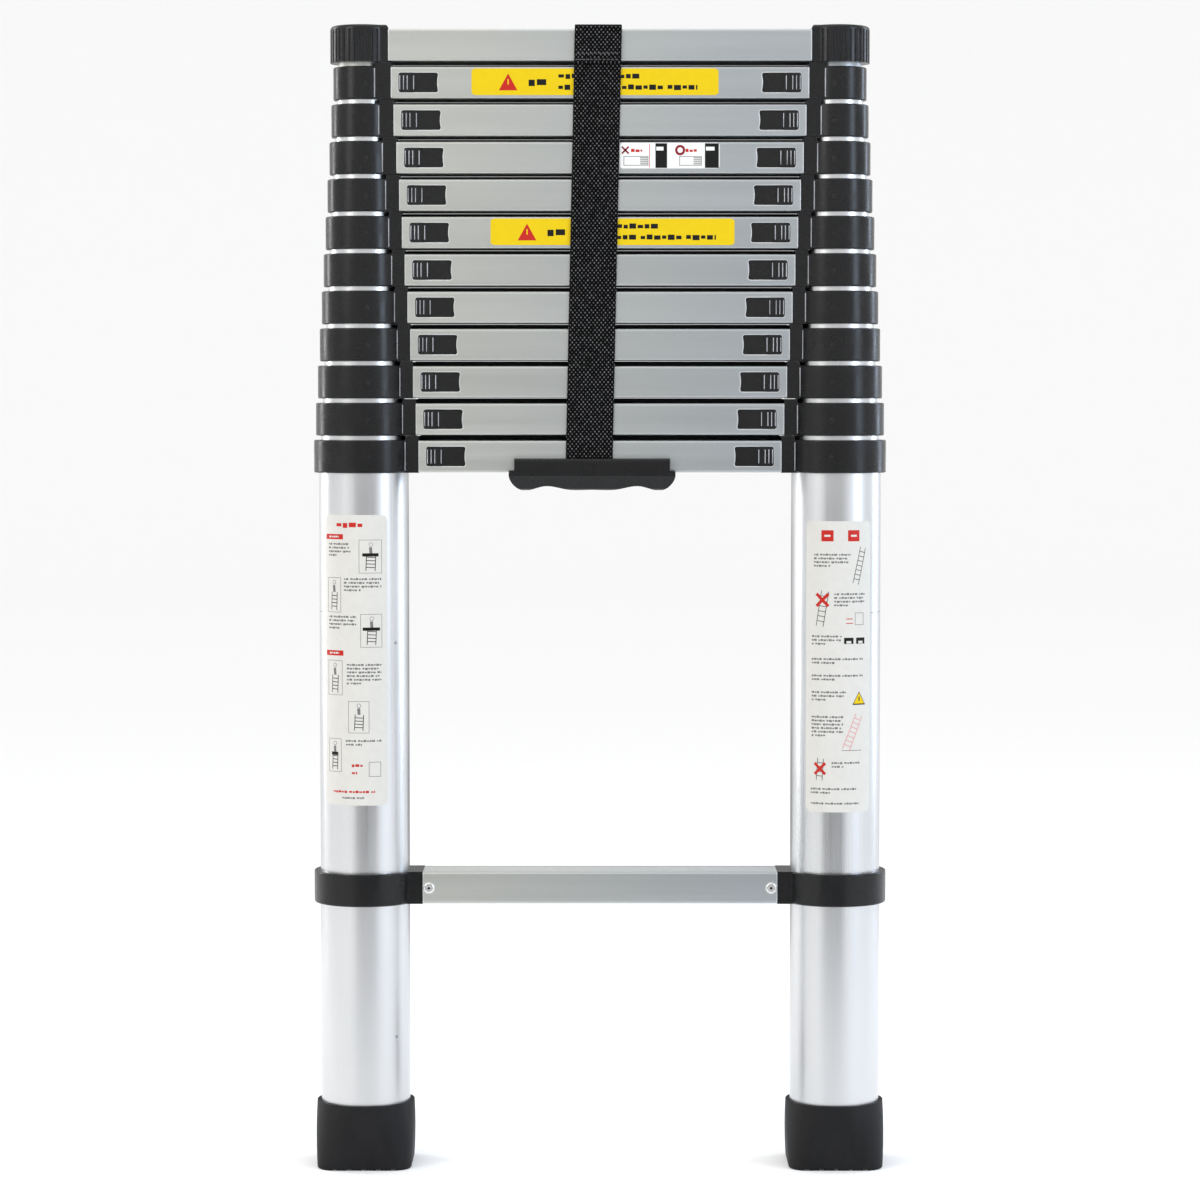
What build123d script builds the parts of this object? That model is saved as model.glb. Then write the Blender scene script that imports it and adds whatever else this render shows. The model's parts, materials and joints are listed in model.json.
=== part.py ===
"""Telescoping ladder, closed: twelve nested sections, a fixed bottom step, latches, strap and handle.

Frame: millimetres, +Z up, front towards -Y, origin on the floor midway between the two feet.
Sections are numbered from the bottom: section 1 is the widest pair of tubes, section 12 the top one.
"""

import os
from math import sqrt

from build123d import *

# --- Driving dimensions -------------------------------------------------------------------------
SECTIONS = 12
AXIS_X = 192.5  # half the distance between the two tube axes
TRAVEL = 262.0  # how far each section slides out of the one below

# Tubes: each one nests in the one before it
FIRST_TUBE_RADIUS = 36.5
TUBE_RADIUS_STEP = 1.54
TUBE_WALL = 1.2
TUBE_FLOOR = 8.0  # lower end of the first pair, inside the feet
TUBE_BELOW_LOCK = 47.0  # tube left below its lock hole

# Stack of collars and rungs
FIRST_COLLAR_Z = 581.0
STACK_PITCH = 30.1
RING_HEIGHT = 26.6
FIRST_RING_WALL = 4.1
RING_WALL_STEP = 0.14
RING_EDGE = 1.2
LIP = 1.5  # lip of a collar over its tube's upper end
BLOCK_DEPTH = 42.0
BLOCK_HEIGHT = 29.7
TENON_LENGTH = 6.0

# Rungs
RUNG_DEPTH = 43.4
RUNG_HEIGHT = 25.8
RUNG_WALL = 1.6
RUNG_CORNER = 2.0
FIRST_RUNG_HALF = 147.0
RUNG_HALF_STEP = 2.15
TREAD_GROOVES = (-14.0, -8.0, -2.0, 4.0, 10.0)
TREAD_GROOVE = (1.4, 0.5)
REAR_LIP_Y = 18.4
REAR_LIP_THICKNESS = 1.8
REAR_LIP_RISE = 4.0  # closes the gap up to the next rung, less a clearance

# Latches
SLOT_LENGTH = 32.2
SLOT_HEIGHT = 15.8
SLOT_END_GAP = 6.3  # rung left outside the slot
SLOT_CORNER = 1.8
SLOT_BOW = 1.2
PIN_DIAMETER = 8.0
PIN_HOLE = 8.8
PIN_TO_TUBE = 0.3
PLATE_THICKNESS = 2.0
PLATE_HEIGHT = 21.0
PLATE_OVERLAP = 6.0
PAD_LENGTH = 12.0
PAD_PROUD = 0.3
RIB_PROUD = 0.9
RIB_WIDTH = 1.3
RIB_PITCH = 3.0
RIBS = 3
WEB_LENGTH = 10.0
WEB_FROM_SLOT = 22.0
WEB_HEIGHT = 10.0
WEB_REAR = 4.0

# Guide plugs in the tubes' lower ends
PLUG_FLANGE = 2.0
PLUG_HEIGHT = 20.0
PLUG_WALL = 2.0

# Top caps
CAP_RADIUS = 26.1
CAP_TOP = 16.5  # above the centre of the top rung
CAP_EDGE = 3.0
CAP_GROOVE_RADIUS = 1.0
CAP_GROOVES = 36
CAP_GROOVE_TOP = 13.0

# Fixed bottom step and its clamps
STEP_Z = 229.5
STEP_HALF = 144.5
CLAMP_RADIUS = 41.6
CLAMP_HEIGHT = 26.4
CLAMP_TENON = 12.0
RIVET_FROM_END = 5.0
RIVET_HEAD = 8.8
RIVET_HEAD_HEIGHT = 1.5
RIVET_SHANK = 4.6
RIVET_HOLE = 2.2
RIVET_LENGTH = 6.0

# Feet
FOOT_HEIGHT = 52.7
FOOT_WIDTH = 79.8
FOOT_BASE = 76.6
FOOT_LEVELS = (  # height, width and corner radius: nearly square at the floor, round at the top
    (0.0, FOOT_BASE, 14.0),
    (FOOT_HEIGHT / 2, FOOT_WIDTH, 27.0),
    (FOOT_HEIGHT, FOOT_WIDTH, FOOT_WIDTH / 2 - 0.1),
)
FOOT_EDGE = 2.0
SOLE_GROOVES = (-24.0, -12.0, 0.0, 12.0, 24.0)
SOLE_GROOVE = (4.0, 1.6)

# Carrying handle under the first rung
HANDLE_X = -6.4
HANDLE_LENGTH = 135.0
HANDLE_PLATE_LENGTH = 126.0
HANDLE_TOP = 11.3  # wings above the rung's underside
HANDLE_DROP = 14.6  # grip below the rung's underside
HANDLE_HALF_DEPTH = 27.5
HANDLE_GRIP_HALF_DEPTH = 17.0
HANDLE_WING_Z = 3.0
HANDLE_EDGE = 2.5
HANDLE_GRIP_EDGE = 7.0
HANDLE_PROFILE = (  # right half of the grip's lower edge: from the middle, and up from its lowest point
    (0.0, 0.3),
    (20.0, 0.5),
    (39.0, 3.2),
    (57.0, 0.0),
    (65.2, 6.0),
    (67.5, 14.6),
)
POCKET_DEPTH = 9.0

# Carrying strap: an inverted U over the top rung, leaning a little
STRAP_WIDTH = 38.0
STRAP_THICKNESS = 2.0
STRAP_TOP_X = -1.3
STRAP_END_X = -8.9
STRAP_TUCK = 4.0  # above the rung's underside, inside the handle's pockets
STRAP_EDGE = 1.5

# Fits
FIT = 0.05  # between pieces fastened together
CLEARANCE = 0.3  # between pieces that move past each other


def section_z(k):
    """Height of the centre of rung and collar k."""
    return FIRST_COLLAR_Z + (k - 1) * STACK_PITCH


def tube_radius(k):
    return FIRST_TUBE_RADIUS - (k - 1) * TUBE_RADIUS_STEP


def ring_radius(k):
    return tube_radius(k) + FIRST_RING_WALL - (k - 1) * RING_WALL_STEP


def rung_half(k):
    return FIRST_RUNG_HALF + (k - 1) * RUNG_HALF_STEP


def ring_bottom(k):
    return section_z(k) - RING_HEIGHT / 2


def tube_top(k):
    return section_z(k) + RING_HEIGHT / 2 - LIP


def lock_z(k):
    """Height of the lock hole of tube k, which meets the latch below it when the section is out."""
    return section_z(k - 1) - TRAVEL


def tube_bottom(k):
    if k == 1:
        return TUBE_FLOOR
    return lock_z(k) - TUBE_BELOW_LOCK


def slot_outer(k):
    return rung_half(k) - SLOT_END_GAP


def finish(piece, label):
    """Name a finished piece and write it."""
    piece.label = label
    export_step(piece, f"parts/{label}.step")


def make_tubes(k):
    """Left and right tubes of one section, with the holes for the latch pins on their inner sides."""
    radius = tube_radius(k)
    pin_levels = []
    if k < SECTIONS:
        pin_levels.append(section_z(k))
    if k > 1:
        pin_levels.append(lock_z(k))
    with BuildPart() as tubes:
        with BuildSketch(Plane.XY.offset(tube_bottom(k))):
            with Locations((AXIS_X, 0)):
                Circle(radius)
                Circle(radius - TUBE_WALL, mode=Mode.SUBTRACT)
        extrude(amount=tube_top(k) - tube_bottom(k))
        with BuildSketch(Plane.YZ.offset(AXIS_X - radius - TUBE_WALL)):
            with Locations(*[(0, z) for z in pin_levels]):
                Circle(PIN_HOLE / 2)
        extrude(amount=radius / 2, mode=Mode.SUBTRACT)
        mirror(about=Plane.YZ)
    if k < SECTIONS:
        finish(tubes.part, f"tubes_{k:02d}")
    return tubes.part


def rung_profile(z, lip):
    """Hollow rung section with tread grooves, and a lip along the rear of its top."""
    top = z + RUNG_HEIGHT / 2
    with Locations((0, z)):
        RectangleRounded(RUNG_DEPTH, RUNG_HEIGHT, RUNG_CORNER)
        RectangleRounded(
            RUNG_DEPTH - 2 * RUNG_WALL,
            RUNG_HEIGHT - 2 * RUNG_WALL,
            RUNG_CORNER / 2,
            mode=Mode.SUBTRACT,
        )
    with Locations(*[(y, top) for y in TREAD_GROOVES]):
        Rectangle(TREAD_GROOVE[0], 2 * TREAD_GROOVE[1], mode=Mode.SUBTRACT)
    if lip:
        with Locations((REAR_LIP_Y, top + (REAR_LIP_RISE - RUNG_WALL) / 2)):
            Rectangle(REAR_LIP_THICKNESS, REAR_LIP_RISE + RUNG_WALL)


def slot_outline(k):
    """Right-hand latch slot in the rung's front wall, bowed at its inner end."""
    z = section_z(k)
    outer = slot_outer(k)
    inner = outer - SLOT_LENGTH
    half = SLOT_HEIGHT / 2
    with BuildLine() as outline:
        Polyline((inner, z - half), (outer, z - half), (outer, z + half), (inner, z + half))
        ThreePointArc((inner, z + half), (inner + SLOT_BOW, z), (inner, z - half))
    return outline.edges()


def add_rung(k):
    """Rung k in the open part builder, with a latch slot near each end."""
    half = rung_half(k)
    latched = k < SECTIONS
    with BuildSketch(Plane.YZ.offset(-half)) as section:
        rung_profile(section_z(k), lip=latched)
    extrude(section.sketch, amount=2 * half)
    if latched:
        with BuildSketch(Plane.XZ.offset(RUNG_DEPTH / 2)) as slots:
            make_face(slot_outline(k))
            fillet(slots.vertices(), SLOT_CORNER)
            mirror(about=Plane.YZ)
        extrude(slots.sketch, amount=-2 * RUNG_WALL, mode=Mode.SUBTRACT)


def make_rung(k):
    with BuildPart() as rung:
        add_rung(k)
    if 1 < k < SECTIONS:
        finish(rung.part, f"rung_{k:02d}")
    return rung.part


def make_bottom_step():
    """Fixed step low between the widest tubes, drilled for four rivets."""
    rivet_x = STEP_HALF - RIVET_FROM_END
    with BuildPart() as step:
        with BuildSketch(Plane.YZ.offset(-STEP_HALF)):
            rung_profile(STEP_Z, lip=False)
        extrude(amount=2 * STEP_HALF)
        with BuildSketch(Plane.XZ.offset(RUNG_DEPTH)):
            with Locations((rivet_x, STEP_Z), (-rivet_x, STEP_Z)):
                Circle(RIVET_SHANK / 2 + FIT)
        extrude(amount=-2 * RUNG_DEPTH, mode=Mode.SUBTRACT)
    return step.part


def make_rivets():
    """Four blind rivets with domed heads, two in front and two behind."""
    rivet_x = STEP_HALF - RIVET_FROM_END
    face = RUNG_DEPTH / 2 + FIT
    with BuildPart() as rivets:
        with BuildSketch(Plane.XZ.offset(face)):
            with Locations((rivet_x, STEP_Z)):
                Circle(RIVET_HEAD / 2)
        extrude(amount=RIVET_HEAD_HEIGHT)
        head_edge = rivets.edges().filter_by(GeomType.CIRCLE).sort_by(Axis.Y)[0]
        fillet(head_edge, RIVET_HEAD_HEIGHT * 0.8)
        with BuildSketch(Plane.XZ.offset(face)):
            with Locations((rivet_x, STEP_Z)):
                Circle(RIVET_SHANK / 2)
        extrude(amount=-RIVET_LENGTH)
        with BuildSketch(Plane.XZ.offset(face + RIVET_HEAD_HEIGHT)):
            with Locations((rivet_x, STEP_Z)):
                Circle(RIVET_HOLE / 2)
        extrude(amount=-RIVET_LENGTH, mode=Mode.SUBTRACT)
        mirror(about=Plane.YZ)
        mirror(about=Plane.XZ)
    return rivets.part


def add_tenon(half, z, length):
    """Plug of a collar or clamp that fits inside the end of its rung."""
    depth = RUNG_DEPTH - 2 * RUNG_WALL - 2 * FIT
    height = RUNG_HEIGHT - 2 * RUNG_WALL - 2 * FIT
    with BuildSketch(Plane.YZ.offset(half)) as tenon:
        with Locations((0, z)):
            RectangleRounded(depth, height, RUNG_CORNER / 2)
    extrude(tenon.sketch, amount=-length)


def add_disc(radius, bottom, height):
    """Solid disc on the right-hand tube axis."""
    with BuildSketch(Plane.XY.offset(bottom)) as disc:
        with Locations((AXIS_X, 0)):
            Circle(radius)
    extrude(disc.sketch, amount=height)


def add_ring(radius, bottom, height):
    """Disc with eased rims, bored later for the tubes."""
    add_disc(radius, bottom, height)
    fillet(edges(Select.LAST).filter_by(GeomType.CIRCLE), RING_EDGE)


def bore(radius, bottom, top):
    """Bore on the right-hand tube axis."""
    with BuildSketch(Plane.XY.offset(bottom)) as disc:
        with Locations((AXIS_X, 0)):
            Circle(radius)
    extrude(disc.sketch, amount=top - bottom, mode=Mode.SUBTRACT)


def add_block(inner, outer, bottom, height):
    """Square socket block between a ring and the end of its rung."""
    with BuildSketch(Plane.XY.offset(bottom)) as block:
        with Locations(((inner + outer) / 2, 0)):
            Rectangle(outer - inner, BLOCK_DEPTH)
    extrude(block.sketch, amount=height)


def add_plug(k):
    """Guide plug in the lower end of the right-hand tube, which keeps the section centred."""
    bottom = tube_bottom(k)
    plug_radius = tube_radius(k) - TUBE_WALL - FIT
    add_disc(tube_radius(k), bottom - PLUG_FLANGE, PLUG_FLANGE - FIT)
    add_disc(plug_radius, bottom - PLUG_FLANGE, PLUG_HEIGHT + PLUG_FLANGE)
    bore(plug_radius - PLUG_WALL, bottom, bottom + PLUG_HEIGHT)


def drill_pin_hole(k):
    """Hole along X through tenon, block and ring for the latch pin."""
    start = rung_half(k) - TENON_LENGTH
    with BuildSketch(Plane.YZ.offset(start)) as hole:
        with Locations((0, section_z(k))):
            Circle(PIN_HOLE / 2)
    extrude(hole.sketch, amount=AXIS_X - start, mode=Mode.SUBTRACT)


def add_clamp():
    """Clamp of the fixed bottom step on the widest tube."""
    bottom = STEP_Z - CLAMP_HEIGHT / 2
    add_ring(CLAMP_RADIUS, bottom, CLAMP_HEIGHT)
    add_block(STEP_HALF, AXIS_X, bottom, CLAMP_HEIGHT)
    add_tenon(STEP_HALF, STEP_Z, CLAMP_TENON)
    bore(FIRST_TUBE_RADIUS + FIT, bottom, bottom + CLAMP_HEIGHT)
    rivet_x = STEP_HALF - RIVET_FROM_END
    with BuildSketch(Plane.XZ.offset(RUNG_DEPTH)) as holes:
        with Locations((rivet_x, STEP_Z)):
            Circle(RIVET_SHANK / 2 + FIT)
    extrude(holes.sketch, amount=-2 * RUNG_DEPTH, mode=Mode.SUBTRACT)


def make_collars(k):
    """Both collars of one section: ring on the tube's upper end, socket block and tenon.

    The node also holds what else of this moulding the section has: the guide plugs in the tubes'
    lower ends, or on the widest tubes the clamps of the bottom step.
    """
    half = rung_half(k)
    bottom = ring_bottom(k)
    crease = sqrt(ring_radius(k) ** 2 - (BLOCK_DEPTH / 2) ** 2)
    with BuildPart() as collars:
        add_ring(ring_radius(k), bottom, RING_HEIGHT)
        add_block(half, AXIS_X, bottom, RING_HEIGHT)
        add_block(half, AXIS_X - crease, bottom, BLOCK_HEIGHT)
        add_tenon(half, section_z(k), TENON_LENGTH)
        bore(tube_radius(k) + FIT, bottom, tube_top(k))
        bore(tube_radius(k) - TUBE_WALL, bottom, bottom + BLOCK_HEIGHT)
        drill_pin_hole(k)
        if k == 1:
            add_clamp()
        else:
            add_plug(k)
        mirror(about=Plane.YZ)
    finish(collars.part, f"collars_{k:02d}")


def make_top_caps():
    """Closed, ribbed caps on the top tubes, which also hold the top rung, and the last plugs."""
    k = SECTIONS
    z = section_z(k)
    half = rung_half(k)
    bottom = ring_bottom(k)
    height = z + CAP_TOP - bottom
    with BuildPart() as caps:
        add_disc(CAP_RADIUS, bottom, height)
        add_block(half, AXIS_X, bottom, height)
        split(bisect_by=Plane.YZ.offset(half), keep=Keep.TOP)
        fillet(caps.edges().group_by(Axis.Z)[-1], CAP_EDGE)
        add_tenon(half, z, CLAMP_TENON)
        bore(tube_radius(k) + FIT, bottom, tube_top(k))
        with BuildSketch(Plane.XY.offset(bottom)):
            with Locations((AXIS_X, 0)):
                with PolarLocations(CAP_RADIUS, CAP_GROOVES):
                    Circle(CAP_GROOVE_RADIUS)
            Rectangle(2 * (AXIS_X - CAP_RADIUS / 2), BLOCK_DEPTH, mode=Mode.SUBTRACT)
        extrude(amount=RING_HEIGHT / 2 + CAP_GROOVE_TOP, mode=Mode.SUBTRACT)
        add_plug(k)
        mirror(about=Plane.YZ)
    finish(caps.part, "top_caps")


def make_latch(k, side, name):
    """Spring latch: ribbed thumb pad, slider plate, web and the pin that locks the next tube."""
    z = section_z(k)
    slot_out = slot_outer(k)
    slot_in = slot_out - SLOT_LENGTH
    pad_half = SLOT_HEIGHT / 2 - CLEARANCE
    face = -RUNG_DEPTH / 2
    plate_face = face + RUNG_WALL + CLEARANCE
    pad_out = slot_out - CLEARANCE
    pin_tip = AXIS_X - tube_radius(k + 1) - PIN_TO_TUBE
    web_in = slot_out - WEB_FROM_SLOT
    first_rib = pad_out - RIB_WIDTH
    with BuildPart() as latch:
        with BuildSketch(Plane.XZ.offset(-plate_face)):
            with Locations(((slot_in - PLATE_OVERLAP + pad_out) / 2, z)):
                Rectangle(pad_out - slot_in + PLATE_OVERLAP, PLATE_HEIGHT)
        extrude(amount=-PLATE_THICKNESS)
        with BuildSketch(Plane.XZ.offset(-plate_face)):
            with Locations((pad_out - PAD_LENGTH / 2, z)):
                RectangleRounded(PAD_LENGTH, 2 * pad_half, SLOT_CORNER)
        extrude(amount=plate_face - face + PAD_PROUD)
        with BuildSketch(Plane.XZ.offset(PAD_PROUD - face)):
            with Locations(*[(first_rib - i * RIB_PITCH, z) for i in range(RIBS)]):
                Rectangle(RIB_WIDTH, 2 * pad_half - 2 * SLOT_CORNER)
        extrude(amount=RIB_PROUD - PAD_PROUD)
        with BuildSketch(Plane.YZ.offset(web_in)):
            with Locations(((plate_face + WEB_REAR) / 2, z)):
                Rectangle(WEB_REAR - plate_face, WEB_HEIGHT)
        extrude(amount=WEB_LENGTH)
        with BuildSketch(Plane.YZ.offset(web_in)):
            with Locations((0, z)):
                Circle(PIN_DIAMETER / 2)
        extrude(amount=pin_tip - web_in)
    piece = latch.part if side > 0 else latch.part.mirror(Plane.YZ)
    finish(piece, f"latch_{name}_{k:02d}")


def make_feet():
    """Rubber boots: round where they grip the tubes, nearly square and grooved at the floor."""
    with BuildPart() as feet:
        for height, width, corner in FOOT_LEVELS:
            with BuildSketch(Plane.XY.offset(height)):
                with Locations((AXIS_X, 0)):
                    RectangleRounded(width, width, corner)
        loft()
        fillet(feet.edges().group_by(Axis.Z)[0], FOOT_EDGE)
        bore(FIRST_TUBE_RADIUS + FIT, TUBE_FLOOR, FOOT_HEIGHT)
        with BuildSketch(Plane.XZ.offset(FOOT_BASE)):
            with Locations(*[(AXIS_X + x, 0) for x in SOLE_GROOVES]):
                Rectangle(SOLE_GROOVE[0], 2 * SOLE_GROOVE[1])
        extrude(amount=-2 * FOOT_BASE, mode=Mode.SUBTRACT)
        mirror(about=Plane.YZ)
    finish(feet.part, "feet")


def strap_x(z):
    """Centre of the leaning strap at height z."""
    top = section_z(SECTIONS) + RUNG_HEIGHT / 2
    end = section_z(1) - RUNG_HEIGHT / 2
    share = (top - z) / (top - end)
    return STRAP_TOP_X + share * (STRAP_END_X - STRAP_TOP_X)


def make_strap():
    """Flat webbing strap folded over the top rung, both legs tucked into the handle."""
    top = section_z(SECTIONS) + RUNG_HEIGHT / 2 + CLEARANCE
    end = section_z(1) - RUNG_HEIGHT / 2 + STRAP_TUCK
    half = STRAP_WIDTH / 2
    inside = RUNG_DEPTH / 2 + CLEARANCE
    outside = inside + STRAP_THICKNESS
    with BuildPart() as strap:
        with BuildSketch(Plane.XZ.offset(outside)):
            with BuildLine():
                Polyline(
                    (strap_x(end) - half, end),
                    (strap_x(end) + half, end),
                    (strap_x(top) + half, top + STRAP_THICKNESS),
                    (strap_x(top) - half, top + STRAP_THICKNESS),
                    close=True,
                )
            make_face()
        extrude(amount=-2 * outside)
        fillet(strap.edges().group_by(Axis.Z)[-1].filter_by(Axis.X), STRAP_EDGE)
        with BuildSketch(Plane.YZ.offset(-STRAP_WIDTH)):
            with Locations((0, (top + end) / 2 - 1)):
                Rectangle(2 * inside, top - end + 2)
        extrude(amount=2 * STRAP_WIDTH, mode=Mode.SUBTRACT)
    finish(strap.part, "carry_strap")


def make_handle():
    """Moulded grip saddled under the first rung, with a pocket at each side for the strap."""
    under = section_z(1) - RUNG_HEIGHT / 2
    bottom = under - HANDLE_DROP
    wing_foot = under - HANDLE_WING_Z
    top = under + HANDLE_TOP
    half = HANDLE_HALF_DEPTH
    pocket_inner = RUNG_DEPTH / 2 + FIT
    pocket_outer = RUNG_DEPTH / 2 + 2 * CLEARANCE + STRAP_THICKNESS + FIT
    right = [(HANDLE_X + x, bottom + rise) for x, rise in HANDLE_PROFILE]
    left = [(HANDLE_X - x, bottom + rise) for x, rise in HANDLE_PROFILE[:0:-1]]
    plate = HANDLE_PLATE_LENGTH / 2
    with BuildPart() as handle:
        with BuildSketch(Plane.YZ.offset(HANDLE_X - HANDLE_LENGTH / 2)) as outline:
            with BuildLine():
                Polyline(
                    (-HANDLE_GRIP_HALF_DEPTH, bottom),
                    (HANDLE_GRIP_HALF_DEPTH, bottom),
                    (half, wing_foot),
                    (half, top),
                    (-half, top),
                    (-half, wing_foot),
                    close=True,
                )
            make_face()
            lower = outline.vertices().group_by(Axis.Y)[0]
            fillet(lower, HANDLE_GRIP_EDGE)
            upper = outline.vertices().group_by(Axis.Y)[-1]
            fillet(upper, HANDLE_EDGE)
        extrude(amount=HANDLE_LENGTH)
        with BuildSketch(Plane.XZ.offset(half)):
            with BuildLine():
                Spline(*left, *right)
                Polyline(
                    right[-1],
                    (HANDLE_X + plate, under),
                    (HANDLE_X + plate, top),
                    (HANDLE_X - plate, top),
                    (HANDLE_X - plate, under),
                    left[0],
                )
            make_face()
        extrude(amount=-2 * half, mode=Mode.INTERSECT)
        with BuildSketch(Plane.YZ.offset(HANDLE_X - HANDLE_LENGTH)):
            with Locations((0, under + RUNG_HEIGHT / 2)):
                RectangleRounded(RUNG_DEPTH + 2 * FIT, RUNG_HEIGHT + 2 * FIT, RUNG_CORNER)
        extrude(amount=2 * HANDLE_LENGTH, mode=Mode.SUBTRACT)
        with BuildSketch(Plane.XY.offset(top - POCKET_DEPTH)):
            with Locations((strap_x(top), 0)):
                Rectangle(STRAP_WIDTH + 4, 2 * pocket_outer)
        extrude(amount=POCKET_DEPTH, mode=Mode.SUBTRACT)
    finish(handle.part, "carry_handle")


def make_lower_rungs():
    """First rung, bottom step and the step's rivets, as separate solids."""
    pieces = Compound(children=[make_rung(1), make_bottom_step(), make_rivets()])
    finish(pieces, "lower_rungs")


def make_top_frame():
    """Top pair of tubes and the top rung, as separate solids."""
    pieces = Compound(children=[make_tubes(SECTIONS), make_rung(SECTIONS)])
    finish(pieces, "top_frame")


os.makedirs("parts", exist_ok=True)
for k in range(1, SECTIONS):
    make_tubes(k)
    make_collars(k)
    make_latch(k, 1, "right")
    make_latch(k, -1, "left")
for k in range(2, SECTIONS):
    make_rung(k)
make_lower_rungs()
make_top_frame()
make_top_caps()
make_feet()
make_handle()
make_strap()
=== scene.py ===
"""Looks of the closed telescoping ladder: materials, webbing strap, stitching, labels, light and camera."""
import json
import math

import bmesh
import bpy
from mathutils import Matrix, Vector


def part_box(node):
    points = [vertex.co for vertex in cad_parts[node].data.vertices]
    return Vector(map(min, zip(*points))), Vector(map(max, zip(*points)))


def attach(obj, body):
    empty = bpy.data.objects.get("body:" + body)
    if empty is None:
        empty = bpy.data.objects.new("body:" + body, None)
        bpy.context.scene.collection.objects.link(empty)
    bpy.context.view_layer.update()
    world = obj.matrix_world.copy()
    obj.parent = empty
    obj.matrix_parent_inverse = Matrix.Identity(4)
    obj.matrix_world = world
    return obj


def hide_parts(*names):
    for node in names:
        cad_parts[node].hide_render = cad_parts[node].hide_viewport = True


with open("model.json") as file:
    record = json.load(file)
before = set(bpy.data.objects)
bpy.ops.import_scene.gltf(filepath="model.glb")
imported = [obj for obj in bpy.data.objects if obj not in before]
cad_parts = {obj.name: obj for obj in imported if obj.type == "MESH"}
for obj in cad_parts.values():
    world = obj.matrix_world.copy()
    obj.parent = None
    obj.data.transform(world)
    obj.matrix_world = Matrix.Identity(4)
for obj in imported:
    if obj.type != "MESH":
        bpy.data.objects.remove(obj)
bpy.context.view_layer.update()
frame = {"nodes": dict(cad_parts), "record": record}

MM = 0.001
SECTIONS = 12
NODES = frame["nodes"]
RIGHT, LEFT = 1, -1


# --- Places, read from the frame ----------------------------------------------------------------
def rung_node(k):
    return {1: "lower_rungs", SECTIONS: "top_frame"}.get(k, f"rung_{k:02d}")


def level(k):
    """Height of the centre of rung k, from the evenly spaced collars."""
    low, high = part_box("collars_01")[1].z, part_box("collars_11")[1].z
    pitch = (high - low) / (SECTIONS - 2)
    rung_low, rung_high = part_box("rung_02")
    second = (rung_low.z + rung_high.z - LIP_RISE) / 2
    return second + (k - 2) * pitch


STRAP_LOW, STRAP_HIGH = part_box("carry_strap")
TUBE_LOW, TUBE_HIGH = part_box("tubes_01")
LIP_RISE = 4.0 * MM
RUNG_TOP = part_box("rung_02")[1].z - LIP_RISE
RUNG_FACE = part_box("rung_05")[0].y
TUBE_RADIUS = (TUBE_HIGH.y - TUBE_LOW.y) / 2
TUBE_AXIS = TUBE_HIGH.x - TUBE_RADIUS
STACK_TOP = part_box("top_caps")[1].z

# Sizes that the boxes don't give
RUNG_HALF = 147.0 * MM  # half the length of rung 1
RUNG_HALF_STEP = 2.15 * MM  # more for each rung above
TUBE_RADIUS_STEP = 1.54 * MM  # less for each tube above
RING_WALL = 4.1 * MM  # of the first collar
RING_WALL_STEP = 0.14 * MM  # less for each collar above
BLOCK_HALF_DEPTH = 21 * MM
CREASE_HALF_HEIGHT = 11.6 * MM
PAD_INSET = 6.6 * MM  # from a rung's end to its latch pad
RIB_HALF_HEIGHT = 5.6 * MM
STEP_HEIGHT = 27 * MM  # reaches past the bottom step, not as far as rung 1
RIVET_X = 139.5 * MM
RIVET_RISE = 12.9 * MM  # above the bottom step's underside
RIVET_REACH = 2.29 * MM  # just outside a rivet's shank
RIVET_HOLE_SHADE_DEPTH = 1.1 * MM  # from the outermost point of the rivet heads
REAR_LIP_FRONT = 15 * MM
WEAVE_ACROSS = 3.3 * MM
WEAVE_ALONG = 4.0 * MM
YARN = 0.7 * MM


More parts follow.
